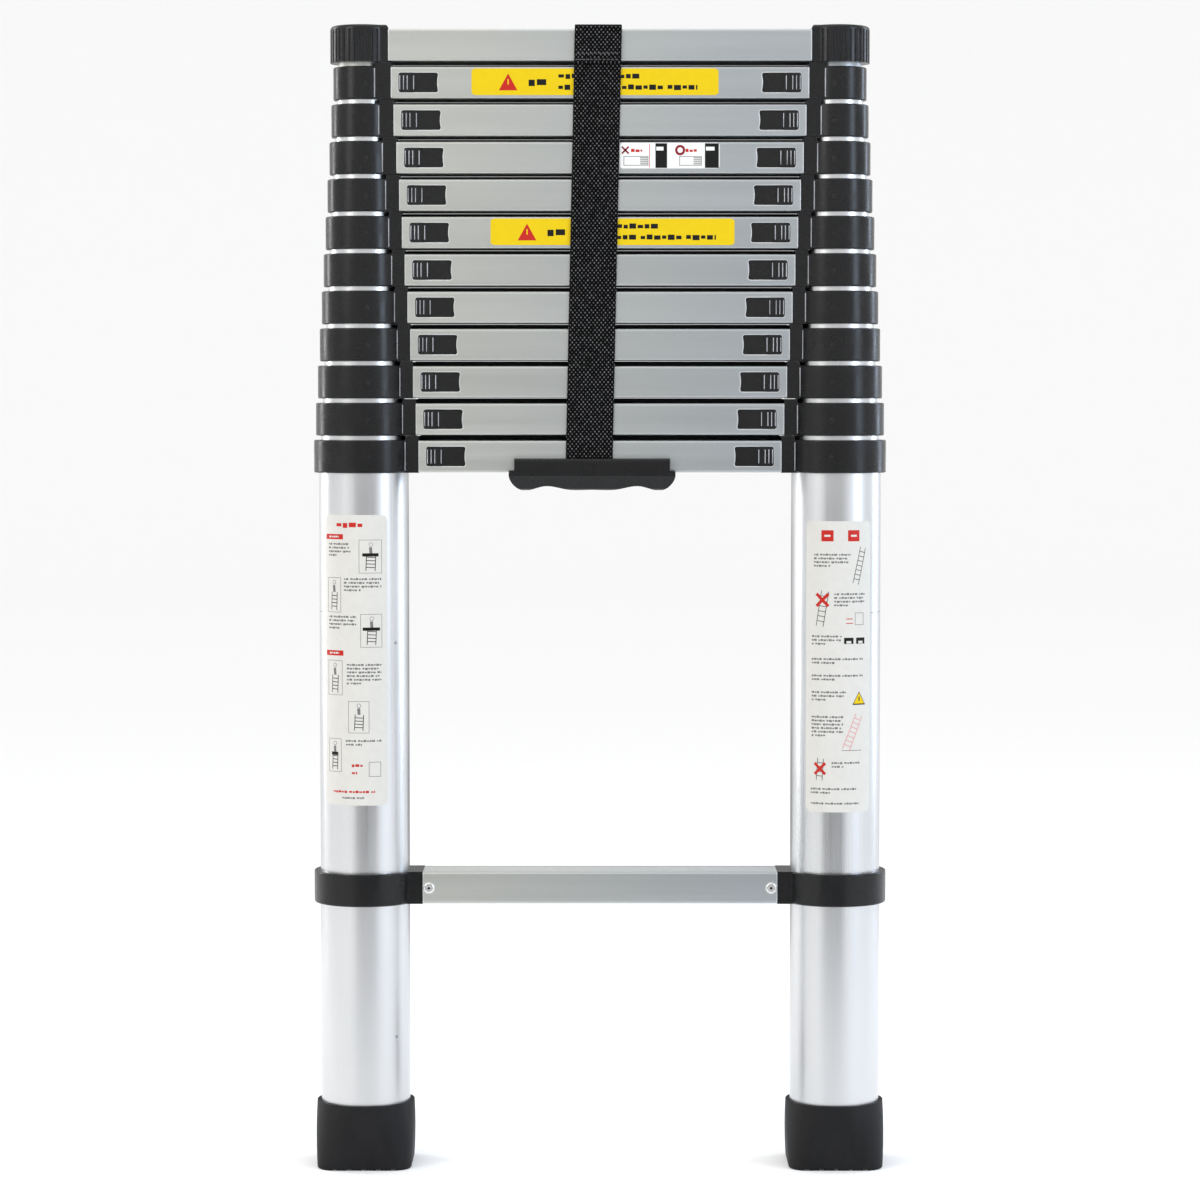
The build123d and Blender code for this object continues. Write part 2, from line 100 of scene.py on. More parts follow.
# --- Node helpers -------------------------------------------------------------------------------
class Shader:
    """One Principled material and short ways to wire its nodes."""

    def __init__(self, name, color, roughness, metallic=0.0, **sockets):
        self.material = bpy.data.materials.new(name)
        self.material.use_nodes = True
        self.nodes = self.material.node_tree.nodes
        self.links = self.material.node_tree.links
        self.bsdf = self.nodes["Principled BSDF"]
        self.bsdf.inputs["Base Color"].default_value = (*color, 1.0)
        self.bsdf.inputs["Roughness"].default_value = roughness
        self.bsdf.inputs["Metallic"].default_value = metallic
        for socket, value in sockets.items():
            self.bsdf.inputs[socket.replace("_", " ")].default_value = value

    def node(self, kind, inputs=(), **settings):
        made = self.nodes.new(kind)
        for key, value in settings.items():
            setattr(made, key, value)
        for key, value in dict(inputs).items():
            if isinstance(value, bpy.types.NodeSocket):
                self.links.new(value, made.inputs[key])
            else:
                made.inputs[key].default_value = value
        return made

    def noise(self, stretch, detail=3.0, roughness=0.55):
        """Noise in the object's metres; stretch gives how many cells there are in a metre each way."""
        place = self.node("ShaderNodeTexCoord").outputs["Object"]
        mapped = self.node("ShaderNodeMapping", {"Vector": place, "Scale": stretch})
        return self.node(
            "ShaderNodeTexNoise",
            {"Vector": mapped.outputs[0], "Scale": 1.0, "Detail": detail, "Roughness": roughness},
        ).outputs[0]

    def place_x(self):
        place = self.node("ShaderNodeTexCoord").outputs["Object"]
        return self.node("ShaderNodeSeparateXYZ", {0: place}).outputs[0]

    def ramp(self, value, low, high, start=0.35, stop=0.65):
        """Remap a grey value to the range low..high."""
        return self.node(
            "ShaderNodeMapRange",
            {"Value": value, "From Min": start, "From Max": stop, "To Min": low, "To Max": high},
        ).outputs[0]

    def mix(self, factor, first, second):
        mixed = self.node("ShaderNodeMix", data_type="RGBA")
        self.links.new(factor, mixed.inputs[0])
        for index, value in ((6, first), (7, second)):
            if isinstance(value, bpy.types.NodeSocket):
                self.links.new(value, mixed.inputs[index])
            else:
                mixed.inputs[index].default_value = (*value, 1.0)
        return mixed.outputs[2]

    def edges_for_highlight_and_wear(self, radius):
        """Mask of the edges, used for painted edge highlights and for rubbed wear: 1 where the rounded
        normal leaves the face's own.
        """
        geometry = self.node("ShaderNodeNewGeometry")
        soft = self.node("ShaderNodeBevel", {"Radius": radius}, samples=4)
        facing = self.node(
            "ShaderNodeVectorMath",
            {0: geometry.outputs["Normal"], 1: soft.outputs[0]},
            operation="DOT_PRODUCT",
        )
        return self.ramp(facing.outputs["Value"], 1.0, 0.0, 0.9, 0.998)

    def maths(self, operation, first, second=0.0):
        return self.node("ShaderNodeMath", {0: first, 1: second}, operation=operation).outputs[0]

    def color(self, value):
        self.links.new(value, self.bsdf.inputs["Base Color"])

    def roughness(self, value):
        self.links.new(value, self.bsdf.inputs["Roughness"])

    def bump(self, height, depth, rounded=None):
        """Bump of the given depth in metres, over edges rounded by that radius."""
        made = self.node("ShaderNodeBump", {"Height": height, "Distance": depth, "Strength": 1.0})
        if rounded:
            bevel = self.node("ShaderNodeBevel", {"Radius": rounded}, samples=4)
            self.links.new(bevel.outputs[0], made.inputs["Normal"])
        self.links.new(made.outputs[0], self.bsdf.inputs["Normal"])


def tube_metal():
    """Satin anodised tube: fine draw lines along Z and faint cloudy stains."""
    made = Shader("anodised_tube", (0.64, 0.65, 0.66), 0.3, metallic=1.0)
    lines = made.noise((700, 700, 5), detail=4.0)
    clouds = made.noise((14, 14, 5), detail=2.0)
    made.roughness(made.ramp(made.maths("ADD", lines, clouds), 0.27, 0.35, 0.8, 1.2))
    made.color(made.mix(made.ramp(clouds, 0.0, 1.0), (0.60, 0.61, 0.62), (0.65, 0.655, 0.66)))
    made.bump(lines, 0.00001, rounded=0.0003)
    return made.material


def rung_metal():
    """Brushed rung extrusion: long fine scratches along X, dull tone, soft bright edges that are painted
    highlights, and painted light that is warmer and paler on the left, cooler and darker on the right.
    """
    made = Shader("brushed_rung", (0.58, 0.59, 0.585), 0.45, metallic=1.0)
    scratches = made.noise((9, 2200, 2200), detail=5.0, roughness=0.7)
    bands = made.noise((2, 70, 70), detail=2.0)
    grain = made.noise((1800, 1800, 1800), detail=1.0)
    both = made.maths("ADD", scratches, bands)
    made.roughness(made.ramp(both, 0.42, 0.50, 0.8, 1.2))
    tone = made.ramp(made.maths("ADD", both, grain), 0.0, 1.0, 1.2, 1.8)
    # Painted light: warmer and paler towards the left, cooler and darker towards the right, as the warm key
    # and the cool fill fall.
    warm_left_cool_right_light = made.ramp(made.place_x(), 0.0, 1.0, -0.12, 0.12)
    pale = made.mix(warm_left_cool_right_light, (0.54, 0.55, 0.515), (0.44, 0.465, 0.48))
    dull = made.mix(warm_left_cool_right_light, (0.48, 0.49, 0.46), (0.39, 0.415, 0.43))
    body = made.mix(tone, dull, pale)
    # Painted highlight: the edges are painted near white.
    made.color(made.mix(made.edges_for_highlight_and_wear(0.0015), body, (0.92, 0.93, 0.93)))
    made.bump(made.maths("ADD", scratches, grain), 0.000015, rounded=0.0008)
    return made.material


def gap_shade_metal():
    """Painted shade: dark metal on the lip that closes the gap behind two rungs."""
    made = Shader("painted_gap_shade", (0.02, 0.021, 0.022), 0.6, metallic=0.4)
    grain = made.noise((40, 900, 900))
    made.roughness(made.ramp(grain, 0.5, 0.7))
    made.color(made.mix(made.ramp(grain, 0.0, 1.0), (0.012, 0.013, 0.014), (0.03, 0.031, 0.032)))
    return made.material


def rivet_metal():
    """Bright rivet heads with tiny handling marks."""
    made = Shader("rivet_metal", (0.88, 0.88, 0.87), 0.2, metallic=1.0)
    marks = made.noise((1200, 1200, 1200))
    made.roughness(made.ramp(marks, 0.14, 0.3))
    made.bump(marks, 0.00003, rounded=0.0003)
    return made.material


def black_plastic(name, tone, gloss, shine):
    """Moulded plastic: fine spark-eroded grain, faint flow clouds and slightly paler edges, partly rubbed
    wear and partly painted highlight.
    """
    dark = tuple(tone * share for share in (1.0, 1.02, 1.1))
    pale = tuple(6 * value for value in dark)
    made = Shader(name, dark, gloss, Specular_IOR_Level=shine)
    grain = made.noise((2600, 2600, 2600), detail=2.0)
    clouds = made.noise((45, 45, 45), detail=3.0)
    # Paler edges: partly rubbed wear, partly painted highlight.
    edge_highlight_and_wear = made.maths("MULTIPLY", made.edges_for_highlight_and_wear(0.0008), made.ramp(clouds, 0.3, 1.0))
    made.color(made.mix(edge_highlight_and_wear, dark, pale))
    made.roughness(made.ramp(clouds, gloss - 0.05, gloss + 0.07))
    made.bump(grain, 0.00001, rounded=0.0006)
    return made.material


def foot_rubber():
    """Matte rubber with dust-grey bloom and pores."""
    made = Shader("foot_rubber", (0.006, 0.006, 0.007), 0.6, Specular_IOR_Level=0.22)
    pores = made.noise((1500, 1500, 1500), detail=4.0)
    bloom = made.noise((45, 45, 20), detail=3.0)
    made.color(made.mix(made.ramp(bloom, 0.0, 1.0), (0.004, 0.004, 0.0045), (0.008, 0.008, 0.009)))
    made.roughness(made.ramp(pores, 0.52, 0.66))
    made.bump(pores, 0.00002, rounded=0.0012)
    return made.material


def webbing():
    """Black nylon webbing: a check of yarn crowns with painted highlights, laid out along the strap's own
    lengths.
    """
    made = Shader("strap_webbing", (0.01, 0.01, 0.0105), 0.8, Specular_IOR_Level=0.05)
    place = made.node("ShaderNodeUVMap", uv_map="strap").outputs[0]
    split = made.node("ShaderNodeSeparateXYZ", {0: place})
    across = made.maths("SINE", made.maths("MULTIPLY", split.outputs[0], 2 * math.pi / WEAVE_ACROSS))
    along = made.maths("SINE", made.maths("MULTIPLY", split.outputs[1], 2 * math.pi / WEAVE_ALONG))
    yarn = made.maths("MULTIPLY", across, along)
    fuzz = made.noise((450, 450, 450), detail=2.0)
    uneven = made.maths("ADD", yarn, made.ramp(fuzz, -0.3, 0.2))
    threads = made.maths("SINE", made.maths("MULTIPLY", split.outputs[0], 2 * math.pi / YARN))
    height = made.maths("ADD", yarn, made.maths("MULTIPLY", threads, 0.15))
    # Painted highlight: the yarn crowns are painted pale grey.
    crown_highlight = made.ramp(uneven, 0.0, 1.0, 0.35, 0.95)
    made.color(made.mix(crown_highlight, (0.002, 0.002, 0.0021), (0.15, 0.15, 0.152)))
    made.roughness(made.ramp(yarn, 0.85, 0.6, -1.0, 1.0))
    made.bump(height, 0.0003)
    return made.material


def ink(name, color, roughness=0.35):
    """Printed vinyl: slightly mottled colour under a thin gloss."""
    made = Shader(name, color, roughness, Specular_IOR_Level=0.2)
    mottle = made.noise((160, 160, 160), detail=2.0)
    darker = tuple(0.97 * value for value in color)
    made.color(made.mix(made.ramp(mottle, 0.0, 1.0), darker, color))
    made.roughness(made.ramp(mottle, roughness - 0.04, roughness + 0.06))
    return made.material


TUBE = tube_metal()
RUNG = rung_metal()
GAP_SHADE = gap_shade_metal()
RIVET = rivet_metal()
PLASTIC = black_plastic("moulded_plastic", 0.0055, 0.26, 0.3)
LATCH = black_plastic("latch_plastic", 0.004, 0.24, 0.35)
RUBBER = foot_rubber()
WEBBING = webbing()
YELLOW = ink("ink_yellow", (0.70, 0.50, 0.003))
WHITE = ink("ink_white", (0.78, 0.78, 0.76))
CREAM = ink("ink_cream", (0.62, 0.61, 0.575))
RED = ink("ink_red", (0.48, 0.018, 0.012))
BLACK = ink("ink_black", (0.006, 0.006, 0.006))
GREY = ink("ink_grey", (0.16, 0.16, 0.16))
MAROON = ink("ink_maroon", (0.22, 0.012, 0.02))
PINK = ink("ink_pink", (0.62, 0.26, 0.27))
INKS = [CREAM, WHITE, YELLOW, RED, BLACK, GREY, MAROON, PINK]


# --- Materials on the CAD pieces ----------------------------------------------------------------
def dress(node, *materials):
    mesh = NODES[node].data
    mesh.materials.clear()
    for material in materials:
        mesh.materials.append(material)


def dress_rivets():
    """Give the rivets, which stand proud of the bottom step's faces, their own finish."""
    mesh = NODES["lower_rungs"].data
    step_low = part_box("lower_rungs")[0].z
    for face in mesh.polygons:
        x, y, z = face.center
        low = z < step_low + STEP_HEIGHT
        proud = abs(y) > -RUNG_FACE + 0.02 * MM
        near_x = abs(abs(x) - RIVET_X) < RIVET_REACH
        near_z = abs(z - step_low - RIVET_RISE) < RIVET_REACH
        face.material_index = 1 if low and (proud or near_x and near_z) else 0


def dress_all():
    finishes = {
        "tube_aluminium": TUBE,
        "rung_aluminium": RUNG,
        "moulded_plastic": PLASTIC,
        "latch_plastic": LATCH,
        "foot_rubber": RUBBER,
        "strap_webbing": WEBBING,
    }
    for part in frame["record"]["subparts"]:
        dress(part["node"], finishes[part["material_slot"]])
    dress("lower_rungs", RUNG, RIVET)
    dress_rivets()
    for obj in NODES.values():
        obj.data.shade_smooth()
        split = obj.modifiers.new("edges", "EDGE_SPLIT")
        split.split_angle = math.radians(28)


def dress_lips():
    """Painted shade on the front and top of each rung's rear lip, seen in the gaps between the rungs."""
    for k in range(1, SECTIONS):
        mesh = NODES[rung_node(k)].data
        top = level(k) + (RUNG_TOP - level(2)) - 0.3 * MM
        slot = len(mesh.materials)
        mesh.materials.append(GAP_SHADE)
        for face in mesh.polygons:
            if face.center.z > top and face.center.y > REAR_LIP_FRONT and face.normal.y < 0.5:
                face.material_index = slot


dress_all()
dress_lips()


# --- Mesh helpers -------------------------------------------------------------------------------
def new_object(name, mesh, materials, smooth=True):
    made = bpy.data.objects.new(name, mesh)
    bpy.context.scene.collection.objects.link(made)
    for material in materials:
        mesh.materials.append(material)
    if smooth:
        mesh.shade_smooth()
    return made


# --- Strap --------------------------------------------------------------------------------------
STRAP_WIDTH = 38 * MM
STRAP_THICK = 1.5 * MM
STRAP_BEND = 3.6 * MM
STRAP_STEP = 3 * MM


def strap_center_x(z):
    """The strap leans a little: its ends stand further left than its top."""
    top_x = -1.3 * MM
    end_x = -8.9 * MM
    share = (STRAP_HIGH.z - z) / (STRAP_HIGH.z - STRAP_LOW.z)
    return top_x + share * (end_x - top_x)


def strap_path(lift):
    """Points (y, z, outward direction) up the front, over the top rung and down the back."""
    face = -STRAP_LOW.y - STRAP_THICK / 2 - 0.2 * MM + lift
    top = STRAP_HIGH.z - STRAP_THICK / 2 - 0.2 * MM + lift
    bend = STRAP_BEND
    half = []
    rise = top - bend - STRAP_LOW.z
    steps = int(rise / STRAP_STEP)
    for i in range(steps):
        half.append((-face, STRAP_LOW.z + rise * i / steps, math.pi))
    for i in range(7):
        turn = math.pi - i * math.pi / 12
        half.append((-(face - bend) + bend * math.cos(turn), top - bend + bend * math.sin(turn), turn))
    flat = int((face - bend) / STRAP_STEP)
    for i in range(1, flat):
        half.append((-(face - bend) * (1 - i / flat), top, math.pi / 2))
    other = [(-y, z, math.pi - turn) for y, z, turn in reversed(half)]
    return half + [(0.0, top, math.pi / 2)] + other


def strap_section():
    """Flat webbing cross-section with rounded selvedges: (across, outward) pairs."""
    half = STRAP_WIDTH / 2
    thick = STRAP_THICK / 2
    edge = 0.9 * MM
    ring = []
    for i in range(7):
        turn = -math.pi / 2 + i * math.pi / 6
        ring.append((half - edge + edge * math.cos(turn), thick * math.sin(turn)))
    across = 12
    for i in range(1, across):
        ring.append(((half - edge) * (1 - 2 * i / across), thick))
    for i in range(7):
        turn = math.pi / 2 + i * math.pi / 6
        ring.append((-half + edge + edge * math.cos(turn), thick * math.sin(turn)))
    for i in range(1, across):
        ring.append((-(half - edge) * (1 - 2 * i / across), -thick))
    return ring


def ripple(length, across):
    """Slack in the webbing: slow waves under a third of a millimetre."""
    return 0.12 * MM * math.sin(length / 0.033) + 0.08 * MM * math.sin(length / 0.017 + across / 0.02)


def sweep_strap(name, points):
    """Closed band of webbing through those path points, with lengths stored as its UV map."""
    bm = bmesh.new()
    uv = bm.loops.layers.uv.new("strap")
    section = strap_section()
    rings = []
    length = 0.0
    lengths = []
    for i, (y, z, turn) in enumerate(points):
        if i:
            length += math.hypot(y - points[i - 1][0], z - points[i - 1][1])
        lengths.append(length)
        center = strap_center_x(z)
        ring = []
        for across, out in section:
            lift = out + max(0.0, ripple(length, across))
            place = (center + across, y + lift * math.cos(turn), z + lift * math.sin(turn))
            ring.append(bm.verts.new(place))
        rings.append(ring)
    count = len(section)
    for i in range(len(rings) - 1):
        for j in range(count):
            k = (j + 1) % count
            face = bm.faces.new((rings[i][j], rings[i][k], rings[i + 1][k], rings[i + 1][j]))
            places = ((i, j), (i, k), (i + 1, k), (i + 1, j))
            for loop, (row, column) in zip(face.loops, places):
                loop[uv].uv = (section[column][0], lengths[row])
    bm.faces.new(rings[0])
    bm.faces.new(list(reversed(rings[-1])))
    bmesh.ops.recalc_face_normals(bm, faces=bm.faces)
    mesh = bpy.data.meshes.new(name)
    bm.to_mesh(mesh)
    bm.free()
    return new_object(name, mesh, [WEBBING]), length


def stitch_row(name, z, across, face, body):
    """A row of thread stitches across the strap, each a stretched bead."""
    bm = bmesh.new()
    stitch = 2.6 * MM
    gap = 0.8 * MM
    count = int(across / (stitch + gap))
    for i in range(count):
        x = strap_center_x(z) + (i - (count - 1) / 2) * (stitch + gap)
        made = bmesh.ops.create_uvsphere(bm, u_segments=12, v_segments=8, radius=0.5 * MM)
        for vert in made["verts"]:
            vert.co.x = vert.co.x * stitch / MM + x
            vert.co.y += face
            vert.co.z += z
    mesh = bpy.data.meshes.new(name)
    bm.to_mesh(mesh)
    bm.free()
    made = new_object(name, mesh, [THREAD])
    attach(made, body)
    return made


def thread():
    made = Shader("stitch_thread", (0.035, 0.035, 0.037), 0.5, Sheen_Weight=0.3)
    twist = made.noise((4000, 900, 900))
    made.bump(twist, 0.0001)
    made.color(made.mix(made.ramp(twist, 0.0, 1.0), (0.022, 0.022, 0.023), (0.06, 0.06, 0.062)))
    return made.material


THREAD = thread()


def make_strap():
    """Webbing strap with a sewn overlap at its top fold and two rows of stitches."""
    strap, length = sweep_strap("webbing_strap", strap_path(0.0))
    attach(strap, "strap")
    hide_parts("carry_strap")
    seam_z = STACK_TOP - 33 * MM
    lap_lift = STRAP_THICK * 0.9
    lap_path = [p for p in strap_path(lap_lift) if p[0] < 0 and p[1] > seam_z]
    lap, lap_length = sweep_strap("strap_overlap", lap_path)
    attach(lap, "strap")
    face = lap_path[0][0] - STRAP_THICK / 2 - 0.1 * MM
    stitches = [
        stitch_row("strap_stitches_low", seam_z + 4.5 * MM, STRAP_WIDTH - 4 * MM, face, "strap"),
        stitch_row("strap_stitches_high", seam_z + 9.5 * MM, STRAP_WIDTH - 4 * MM, face, "strap"),
    ]


make_strap()


# --- Labels -------------------------------------------------------------------------------------
class Label:
    """Thin printed label on a flat rung face or round a tube; u runs to the right and v up."""

    SHEET = 0.12 * MM  # thickness of the sheet
    LAYER = 0.04 * MM  # more for each printed layer

    def __init__(self, name, center, z, width, height, radius=None, turn=0.0):
        self.name = name
        self.center = center
        self.z = z
        self.width = width
        self.height = height
        self.radius = radius
        self.turn = turn
        self.bm = bmesh.new()

    def point(self, u, v, out):
        if self.radius is None:
            return (self.center + u, RUNG_FACE - out, self.z + v)
        angle = self.turn + u / self.radius
        reach = self.radius + out
        return (self.center + reach * math.sin(angle), -reach * math.cos(angle), self.z + v)

    def strip(self, pairs, layer, material):
        """Closed thin prism through pairs of points, one on each of its long edges."""
        base = (0.02 * MM) if layer == 0 else self.SHEET - 0.02 * MM
        top = self.SHEET + layer * self.LAYER
        rings = []
        for first, second in pairs:
            corners = ((first, base), (first, top), (second, top), (second, base))
            rings.append([self.bm.verts.new(self.point(*place, out)) for place, out in corners])
        faces = []
        for first, second in zip(rings, rings[1:]):
            for j in range(4):
                k = (j + 1) % 4
                faces.append(self.bm.faces.new((first[j], first[k], second[k], second[j])))
        faces.append(self.bm.faces.new(list(reversed(rings[0]))))
        faces.append(self.bm.faces.new(rings[-1]))
        for face in faces:
            face.material_index = INKS.index(material)

    def columns(self, left, right, low, high, layer, material, least=1):
        steps = max(least, math.ceil((right - left) / (2.5 * MM)))
        places = [left + (right - left) * i / steps for i in range(steps + 1)]
        self.strip([((u, low(u)), (u, high(u))) for u in places], layer, material)

    def bar(self, u, v, width, height, layer, material):
        left, right = u - width / 2, u + width / 2
        low, high = v - height / 2, v + height / 2
        self.columns(left, right, lambda _: low, lambda _: high, layer, material)

    def stroke(self, start, end, width, layer, material):
        """Straight stroke between two places."""
        du, dv = end[0] - start[0], end[1] - start[1]
        length = math.hypot(du, dv)
        nu, nv = -dv / length * width / 2, du / length * width / 2
        steps = max(1, math.ceil(abs(du) / (2 * MM)))
        pairs = []
        for i in range(steps + 1):
            u, v = start[0] + du * i / steps, start[1] + dv * i / steps
            pairs.append(((u - nu, v - nv), (u + nu, v + nv)))
        self.strip(pairs, layer, material)

    def sheet(self, corner, material):
        """The label's own sheet, with rounded corners."""
        half_width, half_height = self.width / 2, self.height / 2

        def rise(u):
            inset = max(0.0, abs(u) - (half_width - corner))
            return half_height - corner + math.sqrt(max(corner**2 - inset**2, 1e-12))

        self.columns(-half_width, half_width, lambda u: -rise(u), rise, 0, material, 40)

    def disc(self, u, v, radius, layer, material):
        def rise(place):
            return math.sqrt(max(radius**2 - (place - u) ** 2, 1e-12))

        left, right = u - radius, u + radius
        self.columns(left, right, lambda p: v - rise(p), lambda p: v + rise(p), layer, material, 12)

    def triangle(self, u, v, size, layer, material):
        """Upright triangle standing on its base."""
        half = size / 2

        def roof(place):
            return v - half + max(0.9 * size * (1 - abs(place - u) / half), 0.02 * MM)

        self.columns(u - half, u + half, lambda _: v - half, roof, layer, material, 8)

    def cross(self, u, v, size, layer, material):
        half = size / 2
        self.stroke((u - half, v - half), (u + half, v + half), size / 4, layer, material)
        self.stroke((u - half, v + half), (u + half, v - half), size / 4, layer, material)

    def frame(self, u, v, width, height, line, material):
        """Thin rectangle outline."""
        for side in (-1, 1):
            self.bar(u, v + side * (height - line) / 2, width, line, 1, material)
            self.bar(u + side * (width - line) / 2, v, line, height, 1, material)

    def dashes(self, left, right, v, height, layer, material, phase=0):
        """Row of short blocks of uneven length, in place of a line of small print."""
        u = left
        i = phase
        while u < right - 0.6 * MM:
            i += 1
            size = height * (0.8 + 0.55 * math.sin(5.1 * i) ** 2)
            end = min(u + size, right)
            shift = 0.06 * height * math.sin(3.7 * i)
            tall = height * (0.8 + 0.2 * math.sin(2.3 * i))
            self.bar((u + end) / 2, v + shift, end - u, tall, layer, material)
            u = end + height * (0.3 if i % 6 else 0.9)

    def ladder(self, bottom, top, width, rungs, line, material):
        """Small ladder picture between two places."""
        du, dv = top[0] - bottom[0], top[1] - bottom[1]
        length = math.hypot(du, dv)
        nu, nv = -dv / length * width / 2, du / length * width / 2
        for side in (-1, 1):
            shift = (side * nu, side * nv)
            self.stroke(
                (bottom[0] + shift[0], bottom[1] + shift[1]),
                (top[0] + shift[0], top[1] + shift[1]),
                line,
                1,
                material,
            )
        for i in range(1, rungs + 1):
            share = i / (rungs + 1)
            u, v = bottom[0] + du * share, bottom[1] + dv * share
            self.stroke((u - nu, v - nv), (u + nu, v + nv), line, 1, material)

    def place(self, across, down):
        """From shares of the label's width and height, counted from its top left corner."""
        return (across - 0.5) * self.width, (0.5 - down) * self.height

    def text(self, left, right, down, rows, pitch=3.0 * MM, size=1.7 * MM, material=None):
        """Block of rows of dashes, its last row shorter."""
        start, v = self.place(left, down)
        end = self.place(right, down)[0]
        for i in range(rows):
            last = rows > 1 and i == rows - 1
            stop = start + (end - start) * (0.45 if last else 1.0 - 0.06 * (i % 2))
            self.dashes(start, stop, v - i * pitch, size, 1, material or GREY, 7 * i + rows)

    def picture(self, left, right, top, bottom, dark=0.0):
        """Framed picture of a figure on a ladder."""
        (u0, v0), (u1, v1) = self.place(left, top), self.place(right, bottom)
        u, v = (u0 + u1) / 2, (v0 + v1) / 2
        width, height = u1 - u0, v0 - v1
        self.frame(u, v, width, height, 0.35 * MM, GREY)
        self.ladder((u, v1 + 2 * MM), (u + 0.6 * MM, v0 - height * 0.42), width * 0.4, 4, 0.6 * MM, BLACK)
        self.disc(u + 0.3 * MM, v0 - height * 0.14, 1.7 * MM, 1, GREY)
        self.disc(u + 0.3 * MM, v0 - height * 0.14, 1.3 * MM, 2, CREAM)
        self.stroke((u, v0 - height * 0.22), (u + 0.4 * MM, v0 - height * 0.42), 2.4 * MM, 1, GREY)
        if dark:
            self.bar(u, v0 - height * 0.45, width * dark, 2.6 * MM, 2, BLACK)

    def finish(self, body):
        bmesh.ops.recalc_face_normals(self.bm, faces=self.bm.faces)
        mesh = bpy.data.meshes.new(self.name)
        self.bm.to_mesh(mesh)
        self.bm.free()
        made = new_object(self.name, mesh, INKS, smooth=False)
        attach(made, body)


def yellow_rung_label(name, k, start, width, first, second):
    """Yellow strip: warning triangle, a short heading and two rows of small print."""
    label = Label(name, start + width / 2, level(k) + 0.6 * MM, width, 21.4 * MM)
    label.sheet(1.6 * MM, YELLOW)
    left = -width / 2
    label.triangle(left + 29.5 * MM, 0.6 * MM, 15 * MM, 1, RED)
    label.bar(left + 29.5 * MM, 0.0, 1.0 * MM, 4.4 * MM, 2, YELLOW)
    label.dashes(left + 46 * MM, left + 62 * MM, -0.6 * MM, 5.6 * MM, 1, BLACK, 2)
    label.dashes(left + 70 * MM, left + first, 4.4 * MM, 4.2 * MM, 1, BLACK, 1)
    label.dashes(left + 70 * MM, left + second, -4.4 * MM, 4.2 * MM, 1, BLACK, 4)
    label.finish(f"section_{k:02d}")


def white_rung_label(name, k, start, width):
    """White strip: a wrong and a right picture, each with a dark block at its end."""
    label = Label(name, start + width / 2, level(k) + 1.6 * MM, width, 20.6 * MM)
    label.sheet(1.2 * MM, WHITE)
    left = -width / 2
    label.cross(left + 4.4 * MM, 4.4 * MM, 5.6 * MM, 1, MAROON)
    label.disc(left + 48.6 * MM, 4.4 * MM, 4.2 * MM, 1, MAROON)
    label.disc(left + 48.6 * MM, 4.4 * MM, 2.2 * MM, 2, WHITE)
    label.stroke((left + 24 * MM, -9.5 * MM), (left + 24 * MM, 9.5 * MM), 0.5 * MM, 1, RED)
    for shift, span, block, size in ((13, 20, 33.4, 9.4), (57, 18, 74.2, 11.2)):
        label.dashes(left + (shift - 4) * MM, left + (shift + 5) * MM, 4.0 * MM, 2.6 * MM, 1, RED, shift)
        label.frame(left + shift * MM, -4.2 * MM, span * MM, 7.6 * MM, 0.5 * MM, GREY)
        for row in range(4):
            end = left + (shift + span / 2 - 3.6) * MM
            label.bar(end, -6.6 * MM + row * 1.6 * MM, 6 * MM, 0.8 * MM, 1, GREY)
        label.bar(left + block * MM, 0.0, size * MM, 19.8 * MM, 1, BLACK)
        label.bar(left + (block - 0.12 * size) * MM, 5.6 * MM, 0.62 * size * MM, 3.0 * MM, 2, WHITE)
    label.finish(f"section_{k:02d}")


def tube_label(name, side, turn, bottom, top):
    """Long off-white label wrapped a quarter of the way round a bottom tube."""
    width = TUBE_RADIUS * math.radians(90)
    label = Label(name, side * TUBE_AXIS, (bottom + top) / 2, width, top - bottom, TUBE_RADIUS, turn)
    label.sheet(4 * MM, CREAM)
    return label


def left_tube_label(bottom, top):
    """Instructions: two red tabs, framed pictures of a figure on a ladder and small print."""
    label = tube_label("label_tube_left", LEFT, math.radians(-10.5), bottom, top)
    label.text(0.24, 0.66, 0.035, 1, size=4.4 * MM, material=RED)
    for down in (0.075, 0.475):
        u, v = label.place(0.19, down)
        label.bar(u, v, 18 * MM, 4.2 * MM, 1, RED)
        label.dashes(u - 5 * MM, u + 5 * MM, v, 1.6 * MM, 2, CREAM)
    label.text(0.09, 0.46, 0.10, 4)
    label.picture(0.58, 0.91, 0.085, 0.20, 0.7)
    label.picture(0.07, 0.31, 0.215, 0.335)
    label.text(0.36, 0.90, 0.22, 4)
    label.text(0.09, 0.54, 0.35, 4)
    label.picture(0.60, 0.91, 0.34, 0.455, 0.8)
    label.picture(0.07, 0.33, 0.50, 0.62)
    label.text(0.40, 0.90, 0.515, 6)
    label.picture(0.42, 0.72, 0.64, 0.75)
    label.picture(0.08, 0.31, 0.77, 0.885, 0.5)
    label.text(0.38, 0.90, 0.777, 2)
    label.text(0.47, 0.64, 0.862, 2, pitch=6 * MM, size=2.4 * MM, material=RED)
    u, v = label.place(0.80, 0.875)
    label.frame(u, v, 10 * MM, 12 * MM, 0.4 * MM, GREY)
    label.text(0.17, 0.80, 0.953, 1, size=2.0 * MM, material=RED)
    label.text(0.32, 0.64, 0.974, 1)
    label.finish("section_01")


